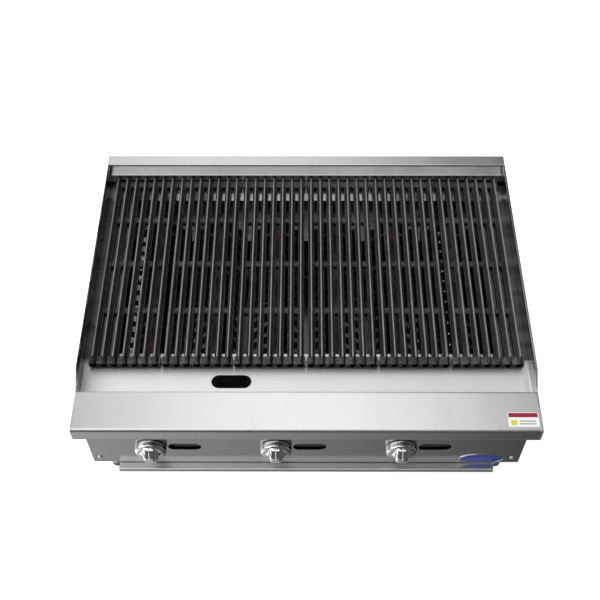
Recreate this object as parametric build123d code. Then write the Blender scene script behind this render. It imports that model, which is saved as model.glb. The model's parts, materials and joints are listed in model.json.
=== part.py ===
from build123d import *
from math import atan2, cos, radians, sin
import os

# Countertop gas charbroiler, millimetres. X runs left to right as the cook sees it and Z is up.
# Everything is drawn with Y measured back from the nose of the front shelf and Z from the worktop;
# save() then moves it to the frame whose origin is the middle of the bounding box's bottom.

# Overall sizes
width = 914.4
depth = 701.0
height = 386.0
body_bottom = 116.7
sheet = 1.5

# Front shelf and the grease trough behind it
shelf_step = 26.0
shelf_depth = 88.0
shelf_lip = 35.0
nose_radius = 7.0
fold_radius = 1.4
lip_return = 11.0
shelf_lap = 25.0
trough_span = 88.0
trough_drop = 33.0
trough_wall = 25.0
trough_lap = 5.0
drain_share = 0.7
drain_setback = 42.0
drain_length = 81.0
drain_width = 31.0
chute_wall = 1.2
chute_gap = 8.0

# Side panels
rim_width = 4.2
rim_height = 10.0
slope_run = 39.0
edge_flange = 27.0
flange_lap = 3.8

# Rear rail along the top of the back
rail_depth = 28.0
rail_drop = 19.0
ledge_depth = 14.5
ledge_lap = 22.0
rail_radius = 1.4

# Control panel
panel_setback = 54.0
panel_return = 20.0
slot_length = 70.0
slot_height = 27.0
slot_offset = 8.0
knob_rise = 70.3
stem_hole_radius = 8.0
screw_inset = 16.2
low_screw_rise = 22.3
high_screw_drop = 60.0

# Firebox
box_side_gap = 55.7
rear_lap = 45.0
flange_spare = 3.0
front_rest = 14.5
burner_count = 3
burner_side_gap = 56.0
flange_gap = 1.0

# Cooking grates
grate_count = 6
grate_side_gap = 11.7
grate_gap = 2.4
grate_overhang = 16.0
grate_back_gap = 3.5
bar_count = 7
bar_margin = 3.35
bar_width = 13.5
bar_foot = 9.0
bar_depth = 14.0
ridge_step = 0.5
ridge_rise = 19.5
ridge_width = 4.0
ridge_front_inset = 7.5
ridge_back_inset = 10.0
ridge_end_radius = 6.5
ridge_chamfer = 1.0
gutter_width = 2.8
gutter_depth = 3.5
front_rail = 18.0
back_rail = 15.0
rib_count = 3
rib_front_inset = 134.0
rib_back_inset = 113.0
rib_width = 15.0
rib_drop = 2.5
notch_depth = 10.0

# Radiants and the rails they lie on
radiant_drop = 89.0
radiant_height = 45.0
radiant_side_gap = 11.5
radiant_crown = 12.0
radiant_sheet = 2.0
radiant_overlap = 12.5
radiant_end_gap = 2.0
front_rail_leg = 25.0
rail_upright = 43.0
rear_step_depth = 25.0
rear_step_rise = 17.0
rear_rail_leg = 22.0
rear_rail_drop = 20.0
vent_edge = 16.0
vent_row_pitch = 22.0
vent_pitch = 28.0
vent_width = 9.0
vent_length = 12.0
vent_margin = 22.0

# Burners, air shutters, valves and gas pipework
leg_offset = 63.0
burner_radius = 18.0
burner_bore = 14.5
bore_length = 46.0
hood_gap = 4.0
mouth_wall = 3.0
hood_hole = 8.0
tip_setback = 34.0
port_pitch = 16.0
port_width = 3.0
port_length = 18.0
port_depth = 3.0
bracket_leg = 50.0
shutter_rim = 12.0
shutter_wall = 1.5
air_window = 9.0
window_edge = 1.2
running_gap = 0.05
face_gap = 0.3
wall_gap = 0.5
valve_gap = 6.5
valve_length = 36.0
valve_width = 24.0
valve_edge = 4.0
valve_bonnet = 4.0
bonnet_radius = 10.0
stem_radius = 4.0
stem_depth = 20.0
stem_in_knob = 18.0
stem_end_gap = 1.0
nipple_radius = 9.0
hood_radius = 6.5
hood_tip_radius = 4.0
hood_length = 13.0
hood_tip = 3.0
manifold_setback = 22.5
manifold_drop = 37.0
pipe_radius = 13.35
pipe_bore = 10.4
boss_radius = 11.0
boss_rise = 2.65
pilot_offset = 3.0
pilot_radius = 6.5
pilot_rise = 21.0
pilot_tube_radius = 2.4
pilot_stub_radius = 3.84
pilot_reach = 29.0
pilot_head_rise = 18.0
pipe_inset = 29.2
elbow_bend = 26.0
elbow_wall = 4.0
elbow_socket = 12.0
inlet_stub = 30.0
thread_length = 20.0
thread_depth = 1.05
pipe_hole_gap = 2.0
cap_length = 12.0
cap_end = 6.0
cap_wall = 3.65

# Knobs
knob_radius = 33.0
knob_back_gap = 1.0
skirt_depth = 16.5
grip_radius = 30.0
grip_setback = 14.0
grip_seat = 8.25
grip_width = 36.0
grip_edge = 5.0
skirt_edge = 2.5
pointer_width = 1.8
pointer_depth = 0.5
pointer_sweep = 68.0

# Drip tray and its runners
tray_side_gap = 7.5
tray_lip_overhang = 5.5
tray_top_gap = 2.7
tray_height = 24.0
tray_sheet = 1.2
tray_setback = 4.0
tray_back_gap = 46.0
tray_lip_reach = 15.0
tray_lip_drop = 8.0
runner_gap = 1.0
runner_leg = 15.0
runner_spare = 10.0

# Legs and levelling feet
leg_inset = 27.2
front_leg_setback = 61.0
rear_leg_setback = 61.0
plate_size = 50.0
plate_thick = 3.0
bolt_offset = 18.5
bolt_radius = 3.0
bolt_head_radius = 5.0
bolt_head_height = 3.7
bolt_length = 11.0
leg_top_radius = 19.0
leg_foot_radius = 16.0
foot_radius = 15.0
foot_height = 13.5
foot_edge = 1.0
foot_gap = 0.5
foot_stem_radius = 8.0
foot_stem_length = 56.0
foot_spare = 5.0

# Fasteners and plates
screw_radius = 2.4
screw_hole_gap = 0.1
screw_head_radius = 5.2
screw_head_height = 2.6
screw_head_round = 1.82
screw_length = 9.0
rear_screw_count = 3
rear_screw_rise = 73.3
rear_screw_pitch = 60.0
badge_inset = 82.2
badge_rise = 18.3
badge_length = 96.0
badge_width = 42.0
badge_thick = 1.5
plate_inset = 36.2
plate_y = 26.0
plate_length = 60.0
plate_width = 32.0
label_thick = 0.5
vent_slots = 9
vent_slot_pitch = 76.0
vent_slot_length = 54.0
vent_slot_width = 12.0
vent_slot_rise = 48.3

# Places worked out from the sizes above, across the width first
half_width = width / 2
side_inner = half_width - sheet
box_half_width = side_inner - box_side_gap
grate_pitch = 2 * (side_inner - grate_side_gap) / grate_count
section_width = grate_pitch - grate_gap
bar_pitch = (section_width - bar_width - 2 * bar_margin) / (bar_count - 1)
grate_centres = [grate_pitch * (i - (grate_count - 1) / 2) for i in range(grate_count)]
outer_burner = box_half_width - burner_side_gap - leg_offset - burner_radius
burner_pitch = 2 * outer_burner / (burner_count - 1)
burner_centres = [burner_pitch * i - outer_burner for i in range(burner_count)]
knob_xs = [centre - leg_offset for centre in burner_centres]
pilot_xs = [centre + pilot_offset for centre in burner_centres]
radiant_pitch = burner_pitch / 2
radiant_half = (radiant_pitch - radiant_side_gap) / 2
radiant_xs = [centre + side * radiant_pitch / 2 for centre in burner_centres for side in (-1, 1)]
vent_rows = [side * (radiant_half - vent_edge - vent_row_pitch * i) for side in (-1, 1) for i in (0, 1)]
chute_half = drain_length / 2 + chute_wall
chute_left = pilot_xs[0] + pilot_tube_radius
chute_right = knob_xs[1] - burner_radius - running_gap - shutter_wall
drain_x = chute_left + chute_half + drain_share * (chute_right - chute_left - 2 * chute_half)
pipe_x = half_width - pipe_inset
leg_x = half_width - leg_inset
tray_half = leg_x - plate_size / 2 - tray_side_gap
tray_lip_half = tray_half + tray_lip_overhang
base_inner = tray_half - flange_lap
screw_x = half_width - screw_inset

# Then from the front to the back
panel_back = panel_setback + sheet
front_wall_y = shelf_depth + trough_span
slope_end = shelf_depth + slope_run
drain_y = shelf_depth + drain_setback
back_inner = depth - sheet
total_depth = depth + inlet_stub
rail_face = depth - rail_depth
ledge_face = rail_face - ledge_depth
grate_front = front_wall_y - grate_overhang
grate_back = ledge_face - grate_back_gap
rear_wall_y = grate_back - rear_lap
rear_step_y = rear_wall_y - rear_step_depth
radiant_front = front_wall_y + sheet + radiant_overlap
radiant_back = rear_step_y - radiant_end_gap
manifold_y = panel_back + manifold_setback
valve_front = panel_back + valve_gap
hood_front = valve_front + valve_length
burner_mouth = hood_front + hood_length + hood_tip + hood_gap
tray_front = panel_setback + tray_setback
tray_lip_front = panel_setback - tray_lip_reach
tray_back = depth - tray_back_gap
runner_back = tray_back + runner_spare
leg_spots = [(side * leg_x, y) for y in (panel_setback + front_leg_setback, depth - rear_leg_setback)
             for side in (-1, 1)]
leg_names = ["front_left", "front_right", "rear_left", "rear_right"]

# Then from the worktop up
shelf_top = height - shelf_step
trough_floor = shelf_top - trough_drop
ledge_top = height - rail_drop
ridge_top = ledge_top + ridge_step
bar_top = ridge_top - ridge_rise
grate_bottom = bar_top - bar_depth
radiant_base = grate_bottom - radiant_drop
knob_height = body_bottom + knob_rise
manifold_height = knob_height - manifold_drop
boss_top = manifold_height + pipe_radius + boss_rise
pilot_height = boss_top + pilot_rise / 2
tray_top = body_bottom - tray_top_gap
panel_screw_heights = [body_bottom + low_screw_rise, shelf_top - high_screw_drop]
rear_screw_heights = [body_bottom + rear_screw_rise + rear_screw_pitch * i
                      for i in range(rear_screw_count)]
panel_screw_spots = [(side * screw_x, z) for side in (-1, 1) for z in panel_screw_heights]
rear_screw_spots = [(side * screw_x, z) for side in (-1, 1) for z in rear_screw_heights]
bolt_spots = [(dx, dy) for dx in (-bolt_offset, bolt_offset) for dy in (-bolt_offset, bolt_offset)]
thread_radius = pipe_radius - thread_depth
screw_hole = screw_radius + screw_hole_gap


def block(x0, x1, y0, y1, z0, z1):
    return Pos((x0 + x1) / 2, (y0 + y1) / 2, (z0 + z1) / 2) * Box(x1 - x0, y1 - y0, z1 - z0)


def rod_y(x, z, radius, y0, y1):
    return Pos(x, (y0 + y1) / 2, z) * Rot(90, 0, 0) * Cylinder(radius, y1 - y0)


def rod_x(y, z, radius, x0, x1):
    return Pos((x0 + x1) / 2, y, z) * Rot(0, 90, 0) * Cylinder(radius, x1 - x0)


def rod_z(x, y, radius, z0, z1):
    return Pos(x, y, (z0 + z1) / 2) * Cylinder(radius, z1 - z0)


def side_plate(points, x0, x1):
    """A plate whose outline is given as (y, z) points, filling x0 to x1."""
    return Pos(x0, 0, 0) * extrude(Plane.YZ * make_face(Polyline(*points, close=True)), x1 - x0)


def long_bar(points, y0, y1):
    """A bar whose section is given as (x, z) points, filling y0 to y1."""
    return Pos(0, y1, 0) * extrude(Plane.XZ * make_face(Polyline(*points, close=True)), y1 - y0)


def slot_y(x, z, length, high, y0, y1):
    outline = SlotOverall(length, high)
    return Pos(x, y1, z) * extrude(Plane.XZ * outline, y1 - y0)


def side_panel(side):
    """Outer sheet with a hemmed top rim and flanges at the front, the back and the base."""
    y0, y1 = panel_back, back_inner
    outline = [(y0, body_bottom), (y0, shelf_top - sheet), (shelf_depth, shelf_top - sheet),
               (shelf_depth, shelf_top), (slope_end, height), (y1, height), (y1, body_bottom)]
    slope = (height - shelf_top) / (slope_end - shelf_depth)
    rim_start = shelf_depth + rim_height / slope / 2
    rim_rise = shelf_top + (rim_start - shelf_depth) * slope
    rim = [(rim_start, rim_rise), (slope_end, height), (rail_face, height),
           (rail_face, height - rim_height), (slope_end + rim_height / 2, height - rim_height),
           (rim_start + rim_height, rim_rise - rim_height / 3)]
    panel = side_plate(outline, side_inner, half_width)
    panel += side_plate(rim, half_width - rim_width, half_width)
    lower = body_bottom + sheet
    flange_top = trough_floor - sheet - flange_gap
    panel += block(side_inner - edge_flange, side_inner, y0, y0 + sheet, body_bottom, flange_top)
    panel += block(side_inner - edge_flange, side_inner, y1 - sheet, y1, body_bottom, flange_top)
    panel += block(base_inner, side_inner, y0, y1, body_bottom, lower)
    panel -= [rod_y(screw_x, z, screw_hole, y0, y0 + sheet) for z in panel_screw_heights]
    panel -= [rod_y(screw_x, z, screw_hole, y1 - sheet, y1) for z in rear_screw_heights]
    panel -= [rod_z(x + dx, y + dy, bolt_radius + screw_hole_gap, body_bottom, lower)
              for x, y in leg_spots if x > 0 for dx, dy in bolt_spots]
    if side < 0:
        return mirror(panel, about=Plane.YZ)
    return panel - rod_y(pipe_x, manifold_height, pipe_radius + pipe_hole_gap, y1 - sheet, y1)


def front_shelf():
    """Work shelf with a rounded nose, a front lip, closed ends and a lap into the trough."""
    low = shelf_top - shelf_lip
    outer = [(0, low), (0, shelf_top), (shelf_depth, shelf_top), (shelf_depth, low)]
    inner = [(sheet, low), (sheet, shelf_top - sheet),
             (shelf_depth, shelf_top - sheet), (shelf_depth, low)]

    def nosed(points, radius):
        face = make_face(Polyline(*points, close=True))
        nose = face.vertices().sort_by_distance((points[1][0], points[1][1], 0))[0]
        return fillet(nose, radius)

    section = nosed(outer, nose_radius) - nosed(inner, nose_radius - sheet)
    fold = section.vertices().sort_by_distance((shelf_depth, shelf_top, 0))[0]
    section = fillet(fold, fold_radius)
    shelf = Pos(-half_width, 0, 0) * extrude(Plane.YZ * section, width)
    shelf += block(-half_width, half_width, 0, lip_return, low, low + sheet)
    shelf += block(-side_inner, side_inner, shelf_depth - sheet, shelf_depth,
                   shelf_top - shelf_lap, shelf_top - sheet)
    cheek = nosed(outer, nose_radius) & (Pos(panel_setback / 2, shelf_top) *
                                         Rectangle(panel_setback, 2 * shelf_lip))
    cheek = Pos(side_inner, 0, 0) * extrude(Plane.YZ * cheek, sheet)
    return shelf + cheek + mirror(cheek, about=Plane.YZ)


def grease_trough():
    """Open channel behind the shelf, with an oval drain in its floor."""
    front = shelf_depth - 2 * sheet
    low = trough_floor - sheet
    half = side_inner
    trough = block(-half, half, front, front_wall_y, low, trough_floor)
    trough += block(-half, half, front, front + sheet, low, trough_floor + trough_wall)
    trough += block(-half, half, front_wall_y - sheet, front_wall_y, low, trough_floor + trough_lap)
    for x in (-half, half - sheet):
        trough += block(x, x + sheet, front, front_wall_y, low, trough_floor + trough_lap)
    drain = Pos(drain_x, drain_y, low) * extrude(SlotOverall(drain_length, drain_width), sheet)
    return trough - drain


def grease_chute():
    """Oval spout that leads the grease from the drain down to the tray."""
    low = body_bottom + chute_gap
    long = trough_floor - sheet - low
    outer = SlotOverall(drain_length + 2 * chute_wall, drain_width + 2 * chute_wall)
    spout = outer - SlotOverall(drain_length, drain_width)
    return Pos(drain_x, drain_y, low) * extrude(spout, long)


def control_panel():
    y0, y1 = panel_setback, panel_back
    panel = block(-half_width, half_width, y0, y1, body_bottom, shelf_top - sheet)
    inner = base_inner - flange_gap
    panel += block(-inner, inner, y1, y1 + panel_return, body_bottom, body_bottom + sheet)
    for centre, x in zip(burner_centres, knob_xs):
        panel -= slot_y(centre + slot_offset, knob_height, slot_length, slot_height, y0, y1)
        panel -= rod_y(x, knob_height, stem_hole_radius, y0, y1)
    return panel - [rod_y(x, z, screw_hole, y0, y1) for x, z in panel_screw_spots]


def rear_panel():
    panel = block(-half_width, half_width, back_inner, depth, body_bottom, height)
    inner = base_inner - flange_gap
    panel += block(-inner, inner, back_inner - panel_return, back_inner,
                   body_bottom, body_bottom + sheet)
    for i in range(vent_slots):
        x = vent_slot_pitch * (i - (vent_slots - 1) / 2)
        panel -= slot_y(x, body_bottom + vent_slot_rise, vent_slot_length, vent_slot_width,
                        back_inner, depth)
    panel -= [rod_y(x, z, screw_hole, back_inner, depth) for x, z in rear_screw_spots]
    return panel - rod_y(pipe_x, manifold_height, pipe_radius + pipe_hole_gap, back_inner, depth)


def rear_top_rail():
    """Stepped rail: a flat top, a front face and a lower ledge that covers the grate ends."""
    face, ledge = rail_face, ledge_face
    steps = [(ledge, ledge_top - ledge_lap), (ledge, ledge_top), (face, ledge_top), (face, height),
             (back_inner, height), (back_inner, height - sheet), (face + sheet, height - sheet),
             (face + sheet, ledge_top - sheet), (ledge + sheet, ledge_top - sheet),
             (ledge + sheet, ledge_top - ledge_lap)]
    section = make_face(Polyline(*steps, close=True))
    for y, z in (steps[1], steps[3]):
        corner = section.vertices().sort_by_distance((y, z, 0))[0]
        section = fillet(corner, rail_radius)
    rail = Pos(-side_inner, 0, 0) * extrude(Plane.YZ * section, 2 * side_inner)
    return rail


def firebox_side_wall(side):
    """Upright wall with a flange turned outwards under the end bars of the grates."""
    y0, y1 = front_wall_y + sheet, rear_wall_y
    wall = block(box_half_width, box_half_width + sheet, y0, y1, body_bottom + sheet, grate_bottom)
    wall += block(box_half_width, side_inner, y0, y1, grate_bottom - sheet, grate_bottom)
    return wall if side > 0 else mirror(wall, about=Plane.YZ)


def firebox_front_wall():
    y0, y1 = front_wall_y, front_wall_y + sheet
    wall = block(-side_inner, side_inner, y0, y1, body_bottom + sheet, grate_bottom)
    wall += block(-box_half_width, box_half_width, y0, y1 + front_rest,
                  grate_bottom - sheet, grate_bottom)
    for x in knob_xs:
        wall -= rod_y(x, knob_height, burner_radius + wall_gap, y0, y1)
    for x in pilot_xs:
        wall -= rod_y(x, pilot_height, pilot_tube_radius + wall_gap, y0, y1)
    return wall - rod_y(pipe_x, manifold_height, pipe_radius + pipe_hole_gap, y0, y1)


def firebox_rear_wall():
    """Upright wall with a flange turned back under the rear ends of the grates."""
    y0, y1 = rear_wall_y, grate_back + flange_spare
    half = box_half_width + sheet
    wall = block(-half, half, y0, y0 + sheet, body_bottom + sheet, grate_bottom - sheet)
    wall += block(-side_inner, side_inner, y0, y1, grate_bottom - sheet, grate_bottom)
    bend = wall.edges().filter_by(Axis.X).sort_by_distance((0, y0, grate_bottom))[0]
    return fillet(bend, fold_radius)


def wall_angle(wall_y, direction, shelf_height, leg, upright):
    """Angle on a firebox wall: a level leg to carry things and an upright against the wall."""
    half = box_half_width
    far = wall_y + direction * leg
    near = wall_y + direction * sheet
    low = shelf_height - sheet
    angle = block(-half, half, min(wall_y, far), max(wall_y, far), low, shelf_height)
    return angle + block(-half, half, min(wall_y, near), max(wall_y, near), low,
                         shelf_height + upright)


def stepped_rail():
    """Rail along the rear wall: a raised step behind the radiants and a lower leg that carries them."""
    half = box_half_width
    top = radiant_base + rear_step_rise
    rail = block(-half, half, rear_wall_y - sheet, rear_wall_y, radiant_base - rear_rail_drop, top)
    rail += block(-half, half, rear_step_y, rear_wall_y, top - sheet, top)
    rail += block(-half, half, rear_step_y, rear_step_y + sheet, radiant_base - sheet, top)
    rail += block(-half, half, rear_step_y - rear_rail_leg, rear_step_y,
                  radiant_base - sheet, radiant_base)
    bend = rail.edges().filter_by(Axis.X).sort_by_distance((0, rear_step_y, top))[0]
    return fillet(bend, fold_radius)


def radiant():
    """Roof-shaped radiant with rows of square vents, drawn about X = 0."""
    y0, y1 = radiant_front, radiant_back
    top = radiant_base + radiant_height
    slope = atan2(radiant_height, radiant_half - radiant_crown)
    side_shift = radiant_sheet / sin(slope)
    crown_in = radiant_crown - radiant_sheet / 2
    roof = [(-radiant_half, radiant_base), (-radiant_crown, top), (radiant_crown, top),
            (radiant_half, radiant_base), (radiant_half - side_shift, radiant_base),
            (crown_in, top - radiant_sheet), (-crown_in, top - radiant_sheet),
            (-radiant_half + side_shift, radiant_base)]
    body = long_bar(roof, y0, y1)
    count = int((y1 - y0 - 2 * vent_margin) // vent_pitch) + 1
    first = (y0 + y1) / 2 - vent_pitch * (count - 1) / 2
    spots = [(x, first + vent_pitch * i) for x in vent_rows for i in range(count)]
    vents = [Pos(x, y, radiant_base + radiant_height / 2) *
             Box(vent_width, vent_length, 2 * radiant_height) for x, y in spots]
    return body - vents


def burner():
    """U-shaped cast burner: the left leg carries the mouth, both legs have ports on top."""
    z = knob_height
    bend = rear_wall_y - bracket_leg / 2 - leg_offset - burner_radius
    body = rod_y(-leg_offset, z, burner_radius, burner_mouth, bend)
    body += rod_y(leg_offset, z, burner_radius, front_wall_y + tip_setback, bend)
    body += Pos(0, bend, z) * Torus(leg_offset, burner_radius, major_angle=180)
    body -= rod_y(-leg_offset, z, burner_bore, burner_mouth + mouth_wall, burner_mouth + bore_length)
    body -= rod_y(-leg_offset, z, hood_hole, burner_mouth, burner_mouth + mouth_wall)
    body -= air_windows(-leg_offset, burner_mouth, mouth_wall)
    first = front_wall_y + tip_setback + port_pitch
    count = int((bend - first) // port_pitch)
    top = z + burner_radius
    ports = [block(x - port_length / 2, x + port_length / 2, first + port_pitch * i,
                   first + port_pitch * i + port_width, top - port_depth, top)
             for x in (-leg_offset, leg_offset) for i in range(count)]
    return body - ports


def air_windows(x, y, long):
    """The two openings beside the hood hole that let air into the burner."""
    middle = (hood_hole + burner_bore) / 2
    reach = burner_bore - hood_hole - 2 * window_edge
    ring = [Pos(x + side * middle, y + long / 2, knob_height) * Box(reach, long, air_window)
            for side in (-1, 1)]
    return ring


def air_shutter():
    """Rotating cap over the burner mouth, with windows that line up when it is open."""
    z = knob_height
    back = burner_mouth - face_gap
    front = back - shutter_wall
    outer = burner_radius + running_gap + shutter_wall
    cap = rod_y(-leg_offset, z, outer, front, burner_mouth + shutter_rim)
    cap -= rod_y(-leg_offset, z, burner_radius + running_gap, back, burner_mouth + shutter_rim)
    cap -= rod_y(-leg_offset, z, hood_hole, front, back)
    return cap - air_windows(-leg_offset, front, shutter_wall)


def gas_valve():
    z = knob_height
    half = valve_width / 2
    body = block(-half, half, valve_front, valve_front + valve_length, z - half, z + half)
    body = fillet(body.edges().filter_by(Axis.Y), valve_edge)
    body += rod_y(0, z, bonnet_radius, valve_front - valve_bonnet, valve_front)
    body += rod_z(0, manifold_y, nipple_radius, boss_top, z - half)
    front = valve_front - valve_bonnet
    return body - rod_y(0, z, stem_radius + running_gap, front, front + stem_depth + face_gap)


def orifice_hood():
    z = knob_height
    front = hood_front
    hood = Pos(0, front, z) * extrude(Plane.XZ * RegularPolygon(hood_radius, 6), -hood_length)
    return hood + rod_y(0, z, hood_tip_radius, front + hood_length, front + hood_length + hood_tip)


def gas_manifold():
    """Supply pipe with a boss under each valve and each pilot valve, capped at the left end."""
    x0 = -box_half_width
    x1 = pipe_x - elbow_bend - face_gap
    pipe = rod_x(manifold_y, manifold_height, pipe_radius, x0, x1)
    pipe += rod_x(manifold_y, manifold_height, pipe_radius + cap_wall, x0, x0 + cap_length)
    for x in knob_xs:
        pipe += rod_z(x, manifold_y, boss_radius, manifold_height, boss_top)
    for x in pilot_xs:
        pipe += rod_z(x, manifold_y, pilot_radius, manifold_height, boss_top)
    return pipe - rod_x(manifold_y, manifold_height, pipe_bore, x0 + cap_end, x1)


def manifold_elbow():
    """Quarter bend with a socket at each end that a pipe enters."""
    outer = pipe_radius + elbow_wall
    inner = pipe_radius + running_gap
    z = manifold_height
    x1, y1 = pipe_x - elbow_bend, manifold_y + elbow_bend
    entry = Plane((x1, manifold_y, z), z_dir=(1, 0, 0))
    corner = Axis((x1, y1, z), (0, 0, 1))
    bend = revolve(entry * Circle(outer), corner, 90)
    bend += rod_x(manifold_y, z, outer, x1 - elbow_socket, x1)
    bend += rod_y(pipe_x, z, outer, y1, y1 + elbow_socket)
    bend -= revolve(entry * Circle(pipe_bore), corner, 90)
    bend -= rod_x(manifold_y, z, inner, x1 - elbow_socket, x1)
    return bend - rod_y(pipe_x, z, inner, y1, y1 + elbow_socket)


def gas_inlet_pipe():
    """Supply pipe along the right side, ending in the threaded connection behind the back."""
    z = manifold_height
    y0 = manifold_y + elbow_bend + face_gap
    pipe = rod_y(pipe_x, z, pipe_radius, y0, total_depth - thread_length)
    pipe += rod_y(pipe_x, z, thread_radius, total_depth - thread_length, total_depth)
    return pipe - rod_y(pipe_x, z, pipe_bore, y0, total_depth)


def pilot_valve():
    body = rod_z(0, manifold_y, pilot_radius, boss_top, boss_top + pilot_rise)
    stub = manifold_y + 2 * pilot_radius
    return body + rod_y(0, pilot_height, pilot_stub_radius, manifold_y, stub)


def pilot_tube():
    return rod_y(0, pilot_height, pilot_tube_radius, manifold_y + 2 * pilot_radius,
                 front_wall_y + pilot_reach)


def pilot_burner():
    """Small head that holds the standing flame beside the burner."""
    y = front_wall_y + pilot_reach + pilot_radius
    top = pilot_height + pilot_head_rise
    head = rod_z(0, y, pilot_radius, pilot_height - pilot_radius, top)
    return head - rod_z(0, y, pilot_tube_radius, pilot_height, top)


def knob():
    """Round skirt with an arched bar across it, bored for the valve stem."""
    z = knob_height
    back = panel_setback - knob_back_gap
    face = back - skirt_depth
    skirt = rod_y(0, z, knob_radius, face, back)
    skirt = fillet(skirt.edges().filter_by(GeomType.CIRCLE).sort_by(Axis.Y)[0], skirt_edge)
    arch_y = face + grip_setback
    arch = rod_x(arch_y, z, grip_radius, -grip_width / 2, grip_width / 2)
    arch = fillet(arch.edges().filter_by(GeomType.CIRCLE), grip_edge)
    bar = arch & block(-knob_radius, knob_radius, 0, face + grip_seat,
                       z - knob_radius, z + knob_radius)
    pointer = rod_x(arch_y, z, grip_radius + pointer_depth, -pointer_width / 2, pointer_width / 2)
    pointer -= rod_x(arch_y, z, grip_radius - pointer_depth, -pointer_width / 2, pointer_width / 2)
    reach = 2 * grip_radius
    sweep = radians(pointer_sweep)
    wedge = side_plate([(arch_y, z), (arch_y, z + reach), (arch_y - reach, z + reach),
                        (arch_y - reach * sin(sweep), z + reach * cos(sweep))],
                       -pointer_width, pointer_width)
    body = skirt + bar - (pointer & wedge)
    return body - rod_y(0, z, stem_radius + running_gap, back - stem_in_knob, back)


def valve_stem():
    front = panel_setback - knob_back_gap - stem_in_knob + stem_end_gap
    return rod_y(0, knob_height, stem_radius, front, valve_front - valve_bonnet + stem_depth)


def drip_tray():
    """Shallow pan with a wide finger lip across the front."""
    low = tray_top - tray_height
    tray = block(-tray_half, tray_half, tray_front, tray_back, low, tray_top)
    tray -= block(-tray_half + tray_sheet, tray_half - tray_sheet, tray_front + tray_sheet,
                  tray_back - tray_sheet, low + tray_sheet, tray_top)
    tray += block(-tray_lip_half, tray_lip_half, tray_lip_front, tray_front + tray_sheet,
                  tray_top - tray_sheet, tray_top)
    return tray + block(-tray_lip_half, tray_lip_half, tray_lip_front,
                        tray_lip_front + tray_sheet, tray_top - tray_lip_drop, tray_top)


def tray_runner():
    """Angle under the body that carries one edge of the tray."""
    inner = tray_half + runner_gap
    low = tray_top - tray_height - face_gap - sheet
    front = tray_front + tray_sheet + runner_gap
    runner = block(inner, inner + sheet, front, runner_back, low, body_bottom)
    return runner + block(inner + sheet - runner_leg, inner + sheet, front, runner_back,
                          low, low + sheet)


def leg():
    top = body_bottom - plate_thick
    low = foot_height + foot_gap
    cone = Pos(0, 0, (low + top) / 2) * Cone(leg_foot_radius, leg_top_radius, top - low)
    bore_top = foot_height + foot_stem_length + foot_spare
    return cone - rod_z(0, 0, foot_stem_radius + running_gap, low, bore_top)


def leg_plate():
    half = plate_size / 2
    plate = block(-half, half, -half, half, body_bottom - plate_thick, body_bottom)
    return plate - [rod_z(dx, dy, bolt_radius + screw_hole_gap, body_bottom - plate_thick, body_bottom)
                    for dx, dy in bolt_spots]


def leg_bolt():
    top = body_bottom - plate_thick
    head = Pos(0, 0, top - bolt_head_height) * extrude(RegularPolygon(bolt_head_radius, 6),
                                                       bolt_head_height)
    return head + rod_z(0, 0, bolt_radius, top, top + bolt_length)


def levelling_foot():
    foot = rod_z(0, 0, foot_radius, 0, foot_height)
    foot = chamfer(foot.edges().filter_by(GeomType.CIRCLE), foot_edge)
    return foot + rod_z(0, 0, foot_stem_radius, foot_height, foot_height + foot_stem_length)


def screw(y_face, direction):
    """Round-headed screw whose head lies on y_face and whose shank points along direction."""
    head = Pos(0, y_face, 0) * Rot(90 * direction, 0, 0) * Cylinder(
        screw_head_radius, screw_head_height, align=(Align.CENTER, Align.CENTER, Align.MIN))
    far = sorted(head.edges().filter_by(GeomType.CIRCLE), key=lambda e: -direction * e.center().Y)
    head = fillet(far[-1], screw_head_round)
    end = y_face + direction * screw_length
    return head + rod_y(0, 0, screw_radius, min(y_face, end), max(y_face, end))


def badge():
    plate = extrude(Plane.XZ * Ellipse(badge_length / 2, badge_width / 2), badge_thick)
    return Pos(half_width - badge_inset, panel_setback, body_bottom + badge_rise) * plate


def warning_plate():
    half_x, half_y = plate_length / 2, plate_width / 2
    plate_x = half_width - plate_inset
    return block(plate_x - half_x, plate_x + half_x, plate_y - half_y, plate_y + half_y,
                 shelf_top, shelf_top + label_thick)


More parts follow.
